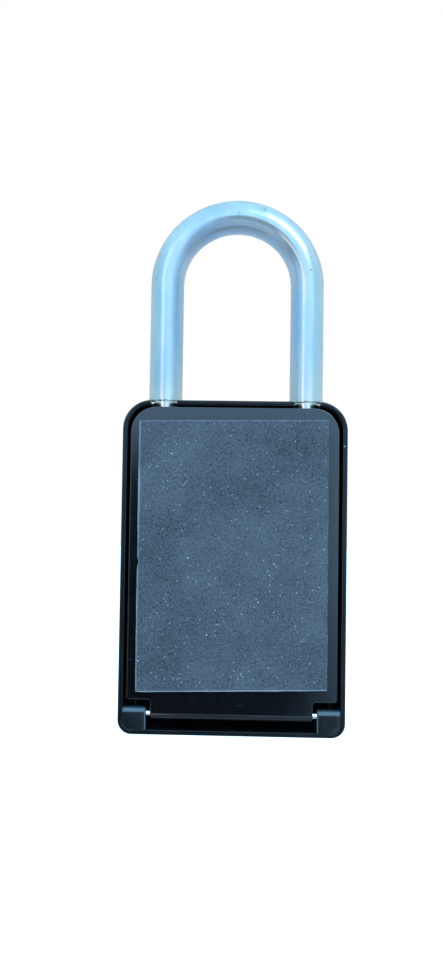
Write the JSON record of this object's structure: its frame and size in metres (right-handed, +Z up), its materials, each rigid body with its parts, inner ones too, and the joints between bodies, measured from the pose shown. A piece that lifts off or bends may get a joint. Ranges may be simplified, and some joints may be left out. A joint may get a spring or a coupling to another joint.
{
  "type": "key lock box",
  "caption": "Portable key lock box with a removable sleeved steel shackle, a foam-backed key tray and a bottom-hinged front cover holding a combination dial lock.",
  "frame": {"origin": "under the middle of the box, on the plane of its flat bottom edge", "axes": "+Z up towards the shackle, +X to the right as the user faces the dials, the dials face -Y and the foam pad faces +Y"},
  "size_m": [0.0812, 0.042, 0.196],
  "materials": {
    "case_plastic": "glossy black moulded back case with a faint orange-peel skin",
    "cover_plastic": "semi-gloss black moulded plastic",
    "foam": "fine closed-cell EVA foam, matt blue-grey with pale and dark specks",
    "zinc_steel": "bright zinc plating with a pale blue and rainbow passivation tint",
    "clear_vinyl": "clear flexible vinyl tube, slightly milky",
    "steel": "plain zinc-plated steel",
    "brass": "machined brass",
    "dial_plastic": "black dials with white digits",
    "lever_plastic": "grey moulded plastic"
  },
  "bodies": {
    "case": {"back_case": "case_plastic", "foam_pad": "foam", "hinge_pin": "steel", "leg_bush_left": "cover_plastic", "leg_bush_right": "cover_plastic", "strike_plate": "steel", "strike_screw_left": "steel", "strike_screw_right": "steel", "catch_retainer": "steel", "retainer_screw_left": "steel", "retainer_screw_right": "steel", "key_hook": "steel"},
    "shackle": {"shackle_bar": "zinc_steel", "shackle_sleeve": "clear_vinyl"},
    "catch": {"shackle_catch": "steel"},
    "door": {"front_cover": "cover_plastic", "dial_shaft": "steel", "dial_carrier": "cover_plastic", "carrier_screw_left": "steel", "carrier_screw_right": "steel", "detent_spring": "steel", "detent_screw_left": "steel", "detent_screw_right": "steel", "inner_cover": "cover_plastic", "cover_screw_lower_left": "steel", "cover_screw_lower_right": "steel", "cover_screw_upper_left": "steel", "cover_screw_upper_right": "steel"},
    "latch": {"latch_plate": "steel", "open_lever": "lever_plastic", "lever_screw": "steel"},
    "reset": {"reset_lever": "lever_plastic"},
    "shutter": {"weather_shutter": "cover_plastic"},
    "wheel_1": {"dial_1": "dial_plastic", "cam_1": "brass"},
    "wheel_2": {"dial_2": "dial_plastic", "cam_2": "brass"},
    "wheel_3": {"dial_3": "dial_plastic", "cam_3": "brass"},
    "wheel_4": {"dial_4": "dial_plastic", "cam_4": "brass"}
  },
  "joints": [
    {"name": "door_hinge", "type": "hinge", "parent": "case", "child": "door", "pos_m": [0, 0.0165, 0.0074], "axis": [1, 0, 0], "range_deg": [0, 110]},
    {"name": "shackle_lift", "type": "slide", "parent": "case", "child": "shackle", "axis": [0, 0, 1], "range_m": [0, 0.027]},
    {"name": "catch_slide", "type": "slide", "parent": "case", "child": "catch", "axis": [1, 0, 0], "range_m": [0, 0.003]},
    {"name": "latch_slide", "type": "slide", "parent": "door", "child": "latch", "axis": [0, 0, 1], "range_m": [0, 0.00903]},
    {"name": "shutter_slide", "type": "slide", "parent": "door", "child": "shutter", "axis": [0, 0, -1], "range_m": [0, 0.024]},
    {"name": "reset_turn", "type": "hinge", "parent": "door", "child": "reset", "pos_m": [-0.012, 0.004, 0.066], "axis": [0, 1, 0], "range_deg": [0, 90]},
    {"name": "dial_1_turn", "type": "hinge", "parent": "door", "child": "wheel_1", "pos_m": [-0.0144, -0.0094, 0.076], "axis": [1, 0, 0], "continuous": true},
    {"name": "dial_2_turn", "type": "hinge", "parent": "door", "child": "wheel_2", "pos_m": [-0.0048, -0.0094, 0.076], "axis": [1, 0, 0], "continuous": true},
    {"name": "dial_3_turn", "type": "hinge", "parent": "door", "child": "wheel_3", "pos_m": [0.0048, -0.0094, 0.076], "axis": [1, 0, 0], "continuous": true},
    {"name": "dial_4_turn", "type": "hinge", "parent": "door", "child": "wheel_4", "pos_m": [0.0144, -0.0094, 0.076], "axis": [1, 0, 0], "continuous": true}
  ]
}
